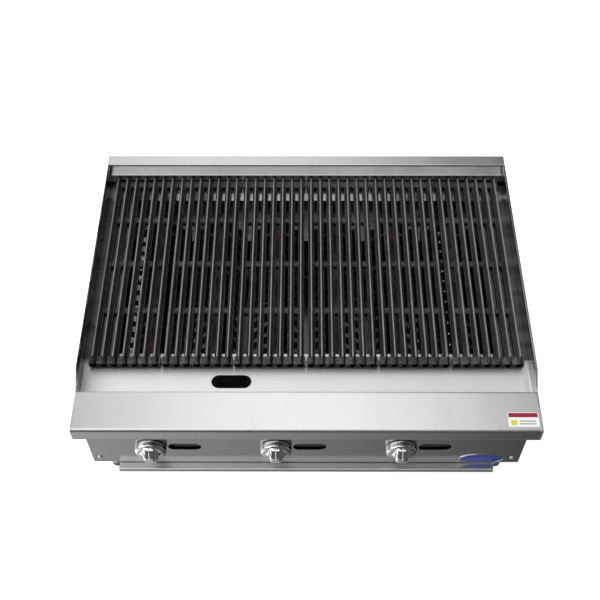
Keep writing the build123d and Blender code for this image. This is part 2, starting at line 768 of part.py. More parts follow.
def grate():
    """One cast section: bars with a raised ridge and side gutters, tied by rails and ribs."""
    low, top = grate_bottom, bar_top
    half = bar_width / 2
    inner = ridge_width / 2
    lip = half - inner - gutter_width
    bar = [(-bar_foot / 2, low), (-half, low + bar_depth / 2), (-half, top), (-half + lip, top),
           (-inner - gutter_width / 2, top - gutter_depth), (-inner, top - gutter_depth / 2),
           (-inner, top), (inner, top), (inner, top - gutter_depth / 2),
           (inner + gutter_width / 2, top - gutter_depth), (half - lip, top), (half, top),
           (half, low + bar_depth / 2), (bar_foot / 2, low)]
    channel = long_bar(bar, grate_front, grate_back)
    ridge = block(-inner, inner, grate_front + ridge_front_inset, grate_back - ridge_back_inset,
                  top - gutter_depth, ridge_top)
    ends = ridge.edges().filter_by(Axis.X).group_by(Axis.Z)[-1]
    ridge = fillet(ends, ridge_end_radius)
    ridge = chamfer(ridge.edges().filter_by(Axis.Y).group_by(Axis.Z)[-1], ridge_chamfer)
    xs = [bar_pitch * (i - (bar_count - 1) / 2) for i in range(bar_count)]
    section_half = section_width / 2
    body = block(-section_half, section_half, grate_front, grate_front + front_rail, low, top)
    body += block(-section_half, section_half, grate_back - back_rail, grate_back, low, top)
    body += [Pos(x, 0, 0) * channel for x in xs]
    body += [Pos(x, 0, 0) * ridge for x in xs]
    first = grate_front + rib_front_inset
    rib_pitch = (grate_back - rib_back_inset - first) / (rib_count - 1)
    for i in range(rib_count):
        y = first + rib_pitch * i
        body += block(xs[0], xs[-1], y - rib_width / 2, y + rib_width / 2, low, top - rib_drop)
    notches = [block(x + inner, x + inner + gutter_width, grate_front, grate_front + front_rail,
                     top - notch_depth, top) for x in xs]
    return body - notches


os.makedirs("parts", exist_ok=True)


def save(name, *pieces):
    shift = Pos(0, -total_depth / 2, 0)
    placed = [shift * piece for piece in pieces]
    export_step(placed[0] if len(placed) == 1 else Compound(children=placed), f"parts/{name}.step")


save("left_side_panel", side_panel(-1))
save("right_side_panel", side_panel(1))
save("rear_panel", rear_panel())
save("rear_top_rail", rear_top_rail())
save("front_shelf", front_shelf())
save("grease_trough", grease_trough())
save("grease_chute", grease_chute())
save("control_panel", control_panel())
save("firebox_left_wall", firebox_side_wall(-1))
save("firebox_right_wall", firebox_side_wall(1))
save("firebox_front_wall", firebox_front_wall())
save("firebox_rear_wall", firebox_rear_wall())
save("radiant_rail_front", wall_angle(front_wall_y + sheet, 1, radiant_base, front_rail_leg,
                                      rail_upright))
save("radiant_rail_rear", stepped_rail())
save("burner_rear_bracket", wall_angle(rear_wall_y, -1, knob_height - burner_radius, bracket_leg,
                                       burner_radius))

one_radiant = radiant()
for number, x in enumerate(radiant_xs, 1):
    save(f"radiant_{number}", Pos(x, 0, 0) * one_radiant)

one_burner = burner()
one_shutter = air_shutter()
one_knob = knob()
one_stem = valve_stem()
for number, centre in enumerate(burner_centres, 1):
    save(f"burner_{number}", Pos(centre, 0, 0) * one_burner)
    save(f"air_shutter_{number}", Pos(centre, 0, 0) * one_shutter)
    save(f"knob_{number}", Pos(centre - leg_offset, 0, 0) * one_knob)
    save(f"valve_stem_{number}", Pos(centre - leg_offset, 0, 0) * one_stem)

save("gas_valves", *[Pos(x, 0, 0) * gas_valve() for x in knob_xs])
save("orifice_hoods", *[Pos(x, 0, 0) * orifice_hood() for x in knob_xs])
save("gas_manifold", gas_manifold())
save("manifold_elbow", manifold_elbow())
save("gas_inlet_pipe", gas_inlet_pipe())
save("pilot_valves", *[Pos(x, 0, 0) * pilot_valve() for x in pilot_xs])
save("pilot_tubes", *[Pos(x, 0, 0) * pilot_tube() for x in pilot_xs])
save("pilot_burners", *[Pos(x, 0, 0) * pilot_burner() for x in pilot_xs])

save("legs", *[Pos(x, y, 0) * leg() for x, y in leg_spots])
save("leg_plates", *[Pos(x, y, 0) * leg_plate() for x, y in leg_spots])
save("leg_bolts", *[Pos(x + dx, y + dy, 0) * leg_bolt() for x, y in leg_spots
                    for dx, dy in bolt_spots])
for name, (x, y) in zip(leg_names, leg_spots):
    save(f"foot_{name}", Pos(x, y, 0) * levelling_foot())

save("drip_tray", drip_tray())
save("tray_runners", tray_runner(), mirror(tray_runner(), about=Plane.YZ))
save("badge", badge())
save("warning_plate", warning_plate())
save("panel_screws", *[Pos(x, 0, z) * screw(panel_setback, 1) for x, z in panel_screw_spots])
save("rear_screws", *[Pos(x, 0, z) * screw(depth, -1) for x, z in rear_screw_spots])

one_grate = grate()
for number, x in enumerate(grate_centres, 1):
    save(f"grate_{number}", Pos(x, 0, 0) * one_grate)
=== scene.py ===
import json
import math

import bmesh
import bpy
from mathutils import Matrix, Vector, noise


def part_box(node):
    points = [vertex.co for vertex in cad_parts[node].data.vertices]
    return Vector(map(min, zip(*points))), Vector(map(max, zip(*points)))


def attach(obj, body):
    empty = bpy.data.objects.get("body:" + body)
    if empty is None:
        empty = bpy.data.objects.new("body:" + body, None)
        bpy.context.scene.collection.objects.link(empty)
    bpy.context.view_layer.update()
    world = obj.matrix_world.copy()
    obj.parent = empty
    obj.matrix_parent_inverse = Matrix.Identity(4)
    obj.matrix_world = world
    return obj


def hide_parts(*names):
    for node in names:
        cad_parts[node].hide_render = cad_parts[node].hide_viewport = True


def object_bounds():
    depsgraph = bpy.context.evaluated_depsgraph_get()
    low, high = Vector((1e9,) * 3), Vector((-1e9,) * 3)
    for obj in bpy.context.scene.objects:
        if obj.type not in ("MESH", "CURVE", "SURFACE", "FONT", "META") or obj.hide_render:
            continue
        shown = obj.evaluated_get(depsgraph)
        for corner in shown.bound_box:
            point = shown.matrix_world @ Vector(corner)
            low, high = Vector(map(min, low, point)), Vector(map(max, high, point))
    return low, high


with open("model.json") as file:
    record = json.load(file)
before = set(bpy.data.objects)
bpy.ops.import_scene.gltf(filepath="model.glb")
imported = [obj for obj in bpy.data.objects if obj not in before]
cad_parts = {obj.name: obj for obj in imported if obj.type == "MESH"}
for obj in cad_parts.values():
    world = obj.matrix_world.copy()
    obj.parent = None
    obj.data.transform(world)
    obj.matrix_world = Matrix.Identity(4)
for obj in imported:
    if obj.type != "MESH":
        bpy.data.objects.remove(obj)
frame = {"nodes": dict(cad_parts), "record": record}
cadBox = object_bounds()
nodes = frame["nodes"]
noseToMiddle = -cadBox[0].y
noise.seed_set(7)   # without a seed, noise_vector draws its offsets from the clock

cameraSettings = {
    "lens": 58.15,
    "sensor": 36.0,
    "place": (-0.0047, -1.2393, 2.0263),
    "pitchDown": 54.61,
    "turn": -0.409,
    "roll": 0.265,
    "farEnd": 50.0,
}


def makeCamera(s):
    pitch, turn, roll = (math.radians(s[k]) for k in ("pitchDown", "turn", "roll"))
    ahead = Vector((math.sin(turn) * math.cos(pitch), math.cos(turn) * math.cos(pitch), -math.sin(pitch)))
    across = Vector((math.cos(turn), -math.sin(turn), 0))
    down = ahead.cross(across)
    right = across * math.cos(roll) + down * math.sin(roll)
    up = across * math.sin(roll) - down * math.cos(roll)
    data = bpy.data.cameras.new("camera")
    data.lens = s["lens"]
    data.sensor_width = s["sensor"]
    data.clip_end = s["farEnd"]
    camera = bpy.data.objects.new("camera", data)
    turned = Matrix((right, up, -ahead)).transposed().to_4x4()
    camera.matrix_world = Matrix.Translation(s["place"]) @ turned
    bpy.context.scene.collection.objects.link(camera)
    bpy.context.scene.camera = camera


makeCamera(cameraSettings)
print("camera is up")


class Wire:
    # a socket that takes part in plain sums, each one adding its Math node
    def __init__(self, finish, socket):
        self.finish = finish
        self.socket = socket

    def maths(self, operation, *values):
        return self.finish.node("ShaderNodeMath", {"operation": operation}, dict(enumerate(values)))

    def __add__(self, other):
        return self.maths("ADD", self, other)

    def __sub__(self, other):
        return self.maths("SUBTRACT", self, other)

    def __mul__(self, other):
        return self.maths("MULTIPLY", self, other)

    def __rsub__(self, other):
        return self.maths("SUBTRACT", other, self)

    def __gt__(self, other):
        return self.maths("GREATER_THAN", self, other)

    def __lt__(self, other):
        return self.maths("LESS_THAN", self, other)

    def __abs__(self):
        return self.maths("ABSOLUTE", self)

    __radd__ = __add__
    __rmul__ = __mul__

    def clamp(self, low=0.0, high=1.0):
        return self.maths("MINIMUM", self.maths("MAXIMUM", self, low), high)

    def step(self, low, high):
        # 0 below low, 1 above high, smooth between
        return self.finish.node("ShaderNodeMapRange", {"interpolation_type": "SMOOTHSTEP"},
                                {"Value": self, "From Min": low, "From Max": high})

    def within(self, low, high):
        return (self > low) * (self < high)


class Finish:
    # one material or world and the nodes in it
    def __init__(self, name, tree=None):
        if tree is None:
            self.material = bpy.data.materials.new(name)
            self.material.use_nodes = True
            tree = self.material.node_tree
        self.tree = tree
        tree.nodes.clear()

    def node(self, kind, settings=None, inputs=None, output=0):
        made = self.tree.nodes.new(kind)
        for key, value in (settings or {}).items():
            if key == "stops":
                self.setStops(made.color_ramp, value)
            else:
                setattr(made, key, value)
        for key, value in (inputs or {}).items():
            if isinstance(value, Wire):
                self.tree.links.new(value.socket, made.inputs[key])
            else:
                made.inputs[key].default_value = value
        return Wire(self, made.outputs[output]) if made.outputs else made

    def setStops(self, ramp, stops):
        while len(ramp.elements) < len(stops):
            ramp.elements.new(0.5)
        for element, (place, colour) in zip(ramp.elements, stops):
            element.position = place
            element.color = colour

    def spot(self):
        return self.node("ShaderNodeTexCoord", output="Object")

    def parts(self, vector):
        made = self.node("ShaderNodeSeparateXYZ", inputs={0: vector})
        return [Wire(self, out) for out in made.socket.node.outputs]

    def grain(self, scale, detail=3.0, rough=0.5, twist=0.0):
        where = self.node("ShaderNodeVectorMath", {"operation": "MULTIPLY"}, {0: self.spot(), 1: scale})
        return self.node("ShaderNodeTexNoise", {}, {"Vector": where, "Scale": 1.0, "Detail": detail,
                                                    "Roughness": rough, "Distortion": twist})

    def ramp(self, value, *stops):
        return self.node("ShaderNodeValToRGB", {"stops": stops}, {"Fac": value})

    def blend(self, factor, first, second):
        # sockets 6 and 7 are the node's two colours, and output 2 its colour
        return self.node("ShaderNodeMix", {"data_type": "RGBA"}, {0: factor, 6: first, 7: second}, 2)

    def bump(self, height, distance, strength=1.0, before=None):
        inputs = {"Height": height, "Distance": distance, "Strength": strength}
        if before is not None:
            inputs["Normal"] = before
        return self.node("ShaderNodeBump", inputs=inputs)

    def softEdge(self, radius):
        return self.node("ShaderNodeBevel", {"samples": 4}, {"Radius": radius})

    def surface(self, **sockets):
        shader = self.node("ShaderNodeBsdfPrincipled",
                           inputs={k.replace("_", " "): v for k, v in sockets.items()})
        self.node("ShaderNodeOutputMaterial", inputs={"Surface": shader})
        return self.material


def tone(level, tint=(1.0, 1.0, 1.0)):
    return tuple(level * t for t in tint) + (1.0,)


studioSettings = {
    # pairs named Foot, Head or Edge are where a region starts and is whole, in the sky's direction
    "overhead": 1.5,         # the white ceiling seen in level steel
    "overheadFall": 13.0,    # how fast it falls off to the sides
    "overheadTilt": 0.15,    # extra fall to the right
    "overheadRange": (0.1, 1.7),
    "lowDim": 0.62,          # the ceiling's dimmer far end
    "lowTilt": 3.0,
    "farHead": (0.68, 0.85),
    "stripGain": 1.45,       # a bright bank in front, above the camera
    "stripTilt": 1.6,
    "highFoot": (0.65, 0.7),
    "gapLevel": 0.25,        # a dimmer gap in that bank
    "gapTilt": 6.0,
    "gapRange": (0.15, 1.8),
    "gapFoot": (0.765, 0.81),
    "gapHead": (0.925, 0.955),
    "frontLevel": 0.29,      # the dark room in front, seen low down
    "frontTilt": 0.85,
    "frontRange": (0.06, 0.8),
    "frontDark": 0.10,       # the same room at eye height
    "eyeFoot": (-0.6, -0.4),
    "behindEdge": (-0.2, 0.3),
    "behindLow": 0.8,        # the half behind the object, below the ceiling
    "ceilingFoot": (-0.15, 0.2),
    "leftEdge": (0.3, 0.6),
    "leftPanel": 1.5,        # white cards on the left, above and below a greyer wall
    "leftWall": 0.62,
    "wallFoot": (-0.6, -0.45),
    "wallHead": (-0.05, 0.15),
    "keyPower": 30.0,
    "keyPlace": (-0.4, 0.2, 3.0),
    "keySize": 2.4,
    "floorSize": 30.0,
    "floorDrop": 0.0005,
    "floorTone": 0.9,
    "floorRough": 0.9,
    "floorGlow": 0.66,
}


def makeStudio(s):
    world = bpy.data.worlds.new("studio")
    bpy.context.scene.world = world
    world.use_nodes = True
    sky = Finish("studio", world.node_tree)
    x, y, z = sky.parts(sky.node("ShaderNodeTexCoord", output="Generated"))
    behind = y.step(*s["behindEdge"])
    up = z.step(*s["ceilingFoot"])
    far = behind * (1 - z.step(*s["farHead"]))
    dim = far * (s["lowDim"] + x * s["lowTilt"])
    ceiling = s["overhead"] - x * x * s["overheadFall"]
    ceiling = (ceiling - x * s["overheadTilt"] - dim).clamp(*s["overheadRange"])
    gap = z.step(*s["gapFoot"]) * (1 - z.step(*s["gapHead"]))
    gapShade = (s["gapLevel"] - x * s["gapTilt"]).clamp(*s["gapRange"])
    strip = (ceiling * s["stripGain"] - x * s["stripTilt"]).clamp(*s["overheadRange"])
    bank = strip * (1 - gap) + gapShade * gap
    low = (s["frontLevel"] - x * s["frontTilt"]).clamp(*s["frontRange"])
    eye = z.step(*s["eyeFoot"])
    high = z.step(*s["highFoot"])
    room = (low * (1 - eye) + s["frontDark"] * eye) * (1 - high) + bank * high
    back = ceiling * up + s["behindLow"] * (1 - up)
    left = (0 - x).step(*s["leftEdge"])
    wall = z.step(*s["wallFoot"]) * (1 - z.step(*s["wallHead"]))
    card = s["leftPanel"] + (s["leftWall"] - s["leftPanel"]) * wall
    level = (room * (1 - behind) + back * behind) * (1 - left) + left * card
    shade = sky.node("ShaderNodeBackground", inputs={"Color": (1, 1, 1, 1), "Strength": level})
    sky.node("ShaderNodeOutputWorld", inputs={"Surface": shade})

    key = bpy.data.lights.new("softbox", "AREA")
    key.energy = s["keyPower"]
    key.size = s["keySize"]
    lamp = bpy.data.objects.new("softbox", key)
    lamp.location = s["keyPlace"]
    lamp.rotation_euler = (-Vector(s["keyPlace"])).to_track_quat("-Z", "Y").to_euler()
    lamp.visible_glossy = False
    bpy.context.scene.collection.objects.link(lamp)

    mesh = bpy.data.meshes.new("floor")
    half = s["floorSize"] / 2
    corners = [(-half, -half, 0), (half, -half, 0), (half, half, 0), (-half, half, 0)]
    mesh.from_pydata(corners, [], [(0, 1, 2, 3)])
    floor = bpy.data.objects.new("floor", mesh)
    floor.location.z = -s["floorDrop"]
    bpy.context.scene.collection.objects.link(floor)
    floor.visible_glossy = False
    look = Finish("paleFloor")
    mesh.materials.append(look.surface(Base_Color=tone(s["floorTone"]), Roughness=s["floorRough"],
                                       Emission_Color=tone(1.0), Emission_Strength=s["floorGlow"]))
    view = bpy.context.scene.view_settings
    view.view_transform = "Standard"
    view.look = "None"


makeStudio(studioSettings)
print("studio is lit")

brushSettings = {
    "fine": 900.0,           # noise scales across and along the brushing
    "long": 5.0,
    "coarser": 0.25,
    "cloud": (4.0, 4.0, 4.0),
    "smear": (14.0, 5.0, 9.0),
    "smearStep": (0.45, 0.75),
    "soot": (22.0, 22.0, 30.0),
    "sootStep": (0.35, 0.7),
    "sootTone": 0.3,
    "sootTint": (1.0, 0.93, 0.86),
    # painted shade on the side panels' inner faces: where its depth changes across the middle, and its
    # near-black tone
    "middle": (-0.1, 0.1),   # where the painted inner shade changes from the left panel's depth to the right's
    "smokeTone": 0.01,
    "streak": 0.05,          # the rest hold unless a sheet says otherwise
    "edge": 0.001,
    "cut": 0.00005,
}


def brushedSteel(name, sheet, along="X"):
    # sheet with a straight grain, faint clouding and wiped-over smears
    look = Finish(name)
    s = {**brushSettings, "sootAndShade": 0.0, "tint": (1.0, 1.0, 1.0), **sheet}
    fine, long = s["fine"], s["long"]
    scale = {"X": (long, fine, fine), "Y": (fine, long, fine), "Z": (fine, fine, long)}[along]
    lines = look.grain(scale, detail=3.0, rough=0.55)
    coarse = look.grain(tuple(v * s["coarser"] for v in scale), detail=2.0)
    cloud = look.grain(s["cloud"], detail=3.0)
    smear = look.grain(s["smear"], detail=4.0, twist=0.6).step(*s["smearStep"])
    soot = look.grain(s["soot"], detail=6.0, rough=0.65, twist=0.4).step(*s["sootStep"])
    sootAndShade, tint, streak = s["sootAndShade"], s["tint"], s["streak"]
    if "sideShadeFrom" in s:   # painted shade: the soot mask grows towards the sides, away from the middle
        x = look.parts(look.spot())[0]
        sootAndShade = sootAndShade + abs(x).step(*s["sideShadeFrom"]) * s["sideShadeGain"]
    shade = look.blend(lines * 0.5 + coarse * 0.2 + cloud * 0.3, tone(s["tone"] * (1 - streak), tint),
                       tone(s["tone"] * (1 + streak), tint))
    if s["sootAndShade"]:
        # soot, and on the rear wall also painted shade towards the sides
        shade = look.blend((soot * sootAndShade).clamp(), shade, tone(s["tone"] * s["sootTone"], s["sootTint"]))
    rough = s["rough"] - 0.05 + lines * 0.06 + smear * 0.04 + soot * (sootAndShade * 0.3)
    if "inner" in s:   # painted shade on the faces turned to the fire, darkest on the left where the light doesn't reach; soot noise only mottles it
        x, y, z = look.parts(look.spot())
        smoked = (abs(x) < s["inner"]) * y.step(*s["smokedFrom"]) * (z > s["smokedAbove"])
        depth = x.step(*s["middle"]) * (s["smokedRight"] - s["smokedLeft"]) + s["smokedLeft"]
        shade = look.blend(smoked * depth * (0.85 + soot * 0.3), shade, tone(s["smokeTone"]))
    return look.surface(Base_Color=shade, Metallic=1.0, Roughness=rough,
                        Normal=look.bump(lines, s["cut"], 0.8, look.softEdge(s["edge"])))


castSettings = {
    "sand": (700.0, 700.0, 700.0),
    "lumps": (160.0, 160.0, 160.0),
    "patch": (24.0, 24.0, 24.0),
    "patchStep": (0.3, 0.7),
    "spread": (0.6, 1.5),    # darkest and lightest, as shares of the tone
    "pits": 0.0005,
}


def castIron(name, iron):
    # sand-cast skin, pitted and uneven
    look = Finish(name)
    s = {**castSettings, **iron}
    sand = look.grain(s["sand"], detail=4.0, rough=0.6)
    lumps = look.grain(s["lumps"], detail=3.0)
    patch = look.grain(s["patch"], detail=4.0, rough=0.6)
    dark, light = (tone(s["tone"] * share, s["tint"]) for share in s["spread"])
    shade = look.blend(patch.step(*s["patchStep"]) * 0.7 + sand * 0.3, dark, light)
    return look.surface(Base_Color=shade, Metallic=s["metal"],
                        Roughness=s["rough"] - 0.1 + sand * 0.12 + patch * 0.12,
                        Normal=look.bump(sand * 0.5 + lumps * 0.9, s["pits"], 0.8))


grateSettings = {
    "bars": 7,
    "barPitch": 0.0209,
    "barHalf": 0.00675,
    "footHalf": 0.0045,
    "shoulder": 0.45,        # height of the widest line, as a share of the bar
    "barDepth": 0.014,
    "ridgeHalf": 0.0025,
    "ridgeTopHalf": 0.0018,
    "ridgeDrop": 0.0011,     # where the ridge's sides end, below its top
    "crest": (0.72, 0.3),    # the rounded top's two corners, as shares of its half width
    "crestDrop": 0.0002,
    "gutter": 0.0028,
    "gutterDepth": 0.0035,
    "notchDepth": 0.0105,    # the gutter is cut deeper where it runs out over the front rail
    "notchInset": 0.0002,
    "notchSlope": 0.0003,
    "bedWide": 0.0006,
    "bedWall": 0.0012,
    "bedRound": 0.001,
    "lipRound": 0.0007,
    "frontRail": 0.018,
    "backRail": 0.015,
    "railDrop": 0.0005,
    "railEdge": 0.0012,
    "railSteps": 28,
    "railSeam": 0.0012,
    "seamClear": 0.005,
    "ribs": (0.134, 0.258, 0.382),
    "ribWidth": 0.015,
    "ribDrop": 0.0025,
    "ribLift": 0.0002,
    "ribEdge": 0.0018,
    "ribSteps": 24,
    # the ridge's height along its ends, as (distance from the end, share of the height)
    "frontRise": ((0.0, 0.0), (0.0014, 0.0), (0.0027, 0.42), (0.0040, 0.72), (0.0058, 0.92),
                  (0.0087, 1.0)),
    "backRise": ((0.0, 0.0), (0.0025, 0.0), (0.0032, 0.45), (0.0042, 0.8), (0.0056, 0.95),
                 (0.0076, 1.0)),
    "span": 0.03,
    "waver": 0.00022,        # how far the cast surface wanders, and at what noise scale
    "waverScale": 60,
    "crestGuard": 0.005,     # above this height the surface only wanders downwards
    "railWaver": 0.00035,
    "railWaverScale": (90, 3.1, 40),
}
ironSettings = {
    "sand": (650.0, 650.0, 650.0),
    "lumps": (170.0, 170.0, 170.0),
    "patch": (18.0, 9.0, 18.0),
    "scuff": (420.0, 30.0, 300.0),
    "tone": 0.09,
    "toneSpread": (0.55, 1.9),
    "wornTint": (1.0, 0.98, 0.96),
    "wornStep": (0.45, 0.8),
    "lowTone": 0.016,        # near black towards the bottom of the bars
    "lowDepth": (0.028, 0.0195),
    "groundTone": 0.33,
    "groundSpread": (0.6, 1.25),
    "groundDepth": (0.0016, 0.0002),
    "groundRagged": 0.0012,
    "pits": 0.0005,
}


def seasonedIron(name, s, top):
    # black seasoned casting whose ridge tops are ground and rubbed bright
    look = Finish(name)
    z = look.parts(look.spot())[2]
    sand = look.grain(s["sand"], detail=4.0, rough=0.6)
    lumps = look.grain(s["lumps"], detail=3.0)
    patch = look.grain(s["patch"], detail=4.0, rough=0.6)
    scuff = look.grain(s["scuff"], detail=4.0, rough=0.6)
    ground = (z + lumps * s["groundRagged"]).step(*(top - d for d in s["groundDepth"]))
    ground = ground * (0.55 + scuff * 0.7).clamp()
    worn = (lumps * 0.6 + patch * 0.5).step(*s["wornStep"])
    plain, bright = (s["tone"] * share for share in s["toneSpread"])
    skin = look.blend(worn, tone(plain), tone(bright, s["wornTint"]))
    skin = look.blend(z.step(*(top - d for d in s["lowDepth"])), tone(s["lowTone"]), skin)
    metal = look.blend(scuff, *(tone(s["groundTone"] * share) for share in s["groundSpread"]))
    shade = look.blend(ground, skin, metal)
    return look.surface(Base_Color=shade, Metallic=0.35 + ground * 0.6,
                        Roughness=0.5 + sand * 0.16 - ground * 0.16 - worn * 0.06,
                        Normal=look.bump(sand * (0.5 - ground * 0.35) + lumps * 0.8, s["pits"], 0.7))


def finishPiece(name, bm, material, body, cadNodes=(), angle=38.0):
    bmesh.ops.remove_doubles(bm, verts=bm.verts, dist=1e-6)
    bmesh.ops.recalc_face_normals(bm, faces=bm.faces)
    mesh = bpy.data.meshes.new(name)
    bm.to_mesh(mesh)
    bm.free()
    for face in mesh.polygons:
        face.use_smooth = True
    mesh.set_sharp_from_angle(angle=math.radians(angle))
    mesh.materials.append(material)
    piece = bpy.data.objects.new(name, mesh)
    bpy.context.scene.collection.objects.link(piece)
    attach(piece, body)
    if cadNodes:
        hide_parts(*cadNodes)
    return piece


def loft(bm, sections, closed=False):
    # a skin over rings of equal length, capped at both ends unless it closes on itself
    rings = [[bm.verts.new(p) for p in section] for section in sections]
    count = len(rings[0])
    pairs = list(zip(rings, rings[1:])) + ([(rings[-1], rings[0])] if closed else [])
    for a, b in pairs:
        for i in range(count):
            j = (i + 1) % count
            bm.faces.new((a[i], a[j], b[j], b[i]))
    if not closed:
        bm.faces.new(rings[0][::-1])
        bm.faces.new(rings[-1])


def spin(bm, profile, place, turned, steps=64):
    # a turned solid: the profile is (radius, along) pairs and starts and ends on the axis
    def point(radius, along, angle=0.0):
        flat = Vector((radius * math.cos(angle), radius * math.sin(angle), along))
        return bm.verts.new(place @ turned(flat))

    rings = []
    for radius, along in profile:
        if radius < 1e-7:
            rings.append([point(0, along)])
        else:
            rings.append([point(radius, along, 2 * math.pi * i / steps) for i in range(steps)])
    for a, b in zip(rings, rings[1:]):
        for i in range(steps):
            j = (i + 1) % steps
            if len(a) == 1:
                bm.faces.new((a[0], b[j], b[i]))
            elif len(b) == 1:
                bm.faces.new((a[i], a[j], b[0]))
            else:
                bm.faces.new((a[i], a[j], b[j], b[i]))


def barSection(s, x, y, low, rise, ridgeTop, notch):
    # one ring around a bar: its body, a gutter each side, and the ridge between them
    top = low + s["barDepth"]
    half, inner, crest = s["barHalf"], s["ridgeHalf"], s["ridgeTopHalf"]
    lip, lipRound = inner + s["gutter"], s["lipRound"]
    height = top + (ridgeTop - top) * rise

    def side(depth):
        bed = top - depth
        corner, flat = s["crest"]
        return [(s["footHalf"], low), (half, low + s["barDepth"] * s["shoulder"]), (half, top - lipRound),
                (half - lipRound, top), (lip + lipRound * 0.3, top),
                (lip - lipRound * 0.5, bed + s["bedRound"]), (inner + s["bedWide"], bed),
                (inner, bed + s["bedWall"]),
                (inner - (inner - crest) * rise, height - s["ridgeDrop"] * rise),
                (crest * corner, height - s["crestDrop"] * rise), (crest * flat, height)]

    left = [(-across, up) for across, up in side(s["gutterDepth"])]
    right = side(s["notchDepth"] if notch else s["gutterDepth"])[::-1]
    scale = s["waverScale"]
    points = []
    for px, pz in left + right:
        shift = noise.noise_vector(Vector(((x + px) * scale, y * scale, pz * scale))) * s["waver"]
        lift = min(shift.z, 0.0) if pz > top + s["crestGuard"] or pz <= low else shift.z
        points.append((x + px + shift.x, y, pz + lift))
    return points


def barStations(s, front, back):
    ahead = [(front + d, r) for d, r in s["frontRise"]]
    behind = [(back - d, r) for d, r in s["backRise"]][::-1]
    start, end = ahead[-1][0], behind[0][0]
    count = int((end - start) / s["span"])
    between = [(start + (end - start) * i / count, 1.0) for i in range(1, count)]
    rail = front + s["frontRail"]
    between = [b for b in between if b[0] > rail + s["seamClear"]]
    between = [(rail, 1.0), (rail + s["railSeam"], 1.0)] + between
    return ahead + between + behind


def railLoft(bm, stations, low, y0, y1, edge, s):
    # a bar across the grate whose top height changes along its length
    middle = (y0 + y1) / 2
    acrossTop = (y0 + edge, middle - edge * 2, middle + edge * 2, y1 - edge)
    scale = s["railWaverScale"]
    rings = []
    for x, top in stations:
        ring = [(x, y0, low), (x, y0, top - edge)]
        for k, y in enumerate(acrossTop):
            wave = noise.noise(Vector((x * scale[0], k * scale[1], y0 * scale[2]))) * s["railWaver"]
            ring.append((x, y, top + min(wave, 0)))
        rings.append(ring + [(x, y1, top - edge), (x, y1, low)])
    loft(bm, rings)


def makeGrate(number, s, material):
    low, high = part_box(f"grate_{number}")
    middle = (low.x + high.x) / 2
    bottom, ridgeTop = low.z, high.z
    top = bottom + s["barDepth"]
    bm = bmesh.new()
    xs = [middle + s["barPitch"] * (i - (s["bars"] - 1) / 2) for i in range(s["bars"])]
    railEnd = low.y + s["frontRail"]
    for x in xs:
        rings = [barSection(s, x, y, bottom, rise, ridgeTop, y <= railEnd + 1e-6)
                 for y, rise in barStations(s, low.y, high.y)]
        loft(bm, rings)

    def level(start, end, height, steps):
        return [(start + (end - start) * i / steps, height) for i in range(steps + 1)]

    railTop = top - s["railDrop"]
    cut, gap, slope = top - s["notchDepth"], s["barPitch"] / 4, s["notchSlope"]
    front = [(low.x, railTop)]
    for x in xs:
        a = x + s["ridgeHalf"] + s["notchInset"]
        b = x + s["ridgeHalf"] + s["gutter"] - s["notchInset"]
        front += [(x - gap, railTop), (a - slope, railTop), (a, cut), (b, cut), (b + slope, railTop)]
    front.append((high.x, railTop))
    railLoft(bm, front, bottom, low.y, railEnd, s["railEdge"], s)
    back = level(low.x, high.x, railTop, s["railSteps"])
    railLoft(bm, back, bottom, high.y - s["backRail"], high.y, s["railEdge"], s)
    rib, half = level(xs[0], xs[-1], top - s["ribDrop"], s["ribSteps"]), s["ribWidth"] / 2
    for place in s["ribs"]:
        y = low.y + place
        railLoft(bm, rib, bottom + s["ribLift"], y - half, y + half, s["ribEdge"], s)
    finishPiece(f"grateCasting{number}", bm, material, f"grate_body_{number}",
                [f"grate_{number}"], 50.0)


grateIron = seasonedIron("seasonedGrateIron", ironSettings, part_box("grate_1")[1].z)
for number in range(1, 7):
    makeGrate(number, grateSettings, grateIron)
print("grates are cast")

knobSettings = {
    "gripRadius": 0.030,
    # the arch's side, as (distance from the middle, drop below the radius)
    "gripSide": ((0.0, 0.0), (0.003, 0.0), (0.006, 0.00005), (0.009, 0.0003), (0.011, 0.0008),
                 (0.0126, 0.0017), (0.0138, 0.003), (0.0146, 0.0046), (0.0152, 0.0065),
                 (0.0158, 0.0086), (0.0166, 0.0106), (0.0178, 0.0124), (0.0195, 0.0139),
                 (0.0218, 0.015), (0.0245, 0.0156), (0.027, 0.0158)),
    "gripAxis": 0.0505,      # the arch's centre, measured back from the nose
    "gripEnd": 78.0,
    "gripSteps": 40,
    "pinch": 0.0022,         # how far the finger sides draw in towards the front
    "pinchPower": 3,
    "pinchFade": 0.018,
    "seat": 0.050,           # how deep the grip goes into the skirt
    "seatShare": 0.9,
    "pointerHalf": 0.0009,
    "pointerRise": 0.0005,
    "pointerSink": 0.001,
    "pointerStart": 88.0,
    "pointerSweep": 80.0,
    "pointerSteps": 24,
    "skirtSteps": 96,
    # the dish behind the grip, as (radius, distance back from the nose)
    "skirt": ((0.0, 0.053), (0.0315, 0.053), (0.0328, 0.0522), (0.033, 0.0510), (0.033, 0.0452),
              (0.0327, 0.0424), (0.0318, 0.0399), (0.0300, 0.0381), (0.0275, 0.0371), (0.0240, 0.0366),
              (0.0, 0.0364)),
}


def fromNose(distance):
    return distance - noseToMiddle


